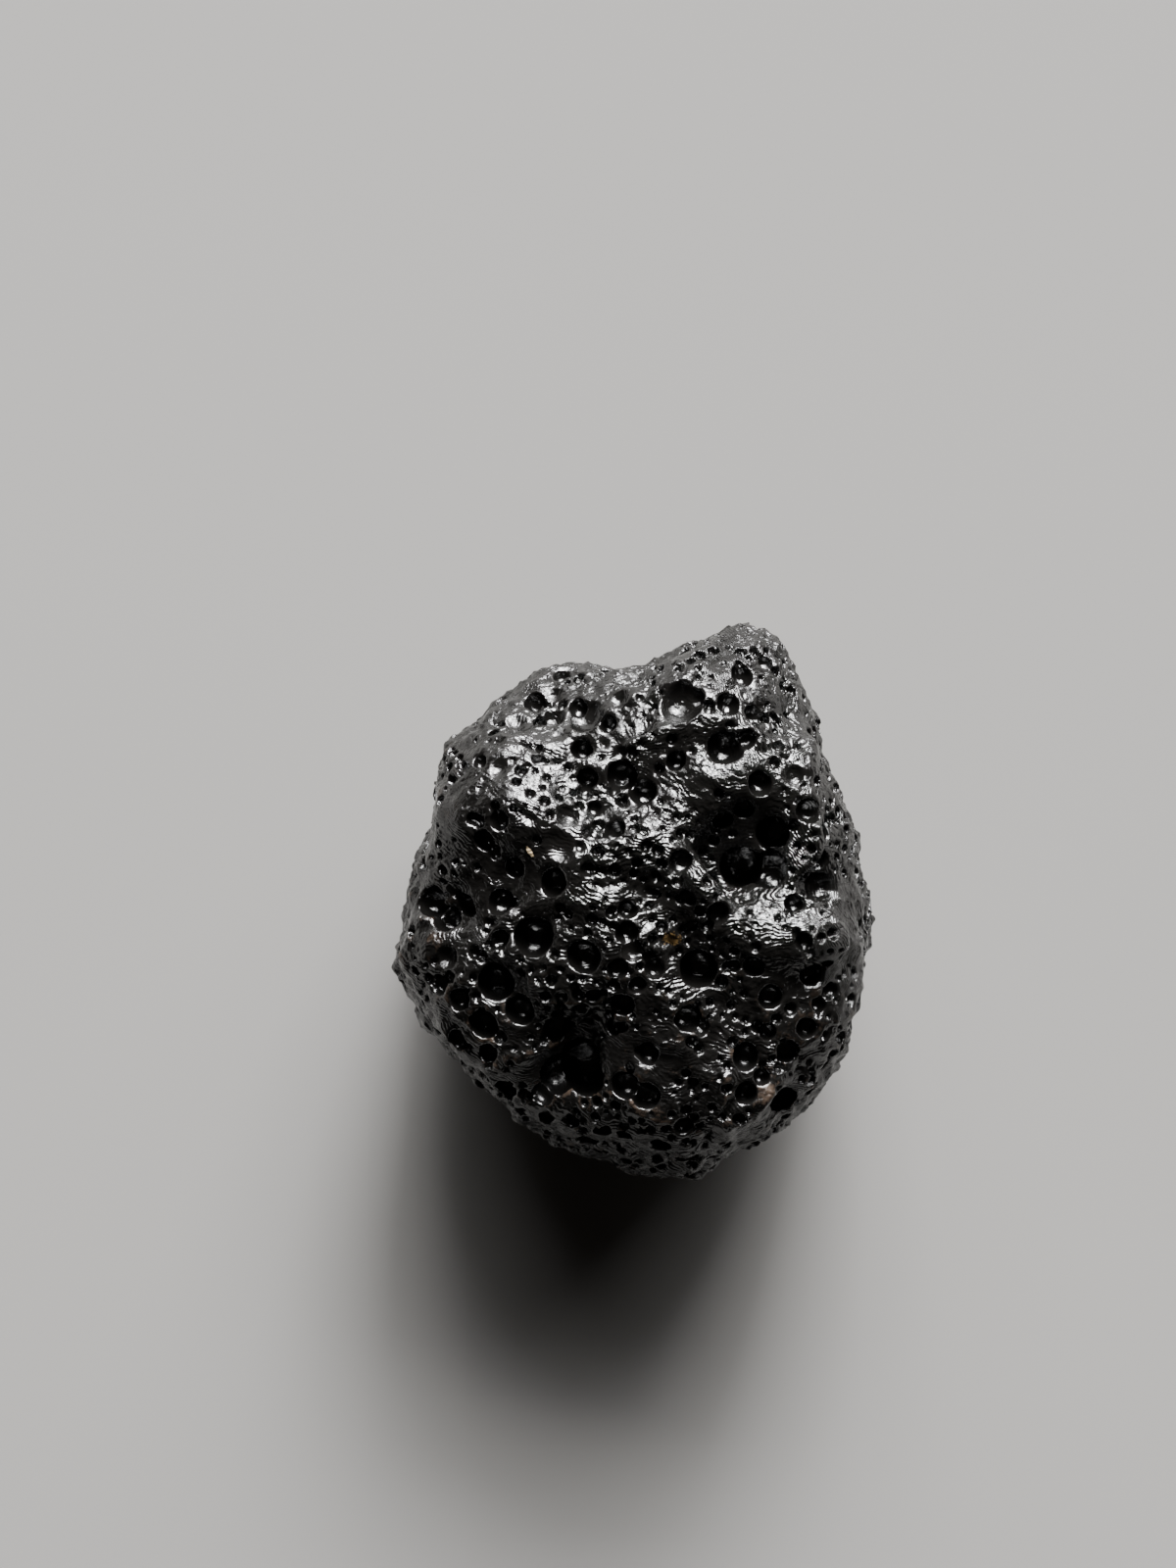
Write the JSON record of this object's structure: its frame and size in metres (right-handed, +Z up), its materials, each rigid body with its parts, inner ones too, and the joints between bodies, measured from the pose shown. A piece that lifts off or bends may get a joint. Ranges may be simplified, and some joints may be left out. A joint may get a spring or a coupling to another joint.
{
  "type": "tektite",
  "caption": "Small pebble of black natural glass with a lumpy domed upper side, burst bubble pits all over, two deep caves and a blunt horn on its rim.",
  "frame": {"origin": "under the middle of the stone, at the middle of its box and on the surface that it rests on", "axes": "+Z up, out of the upper side with the caves; +Y along the stone's longest way, towards the horn on its rim; +X to the right seen from above"},
  "size_m": [0.0112, 0.013, 0.0084],
  "materials": {
    "black_glass": "opaque black natural glass with an oily shine, fine flow lines and a little brown clay in its hollows"
  },
  "bodies": {
    "root": {"tektite": "black_glass"}
  },
  "joints": []
}
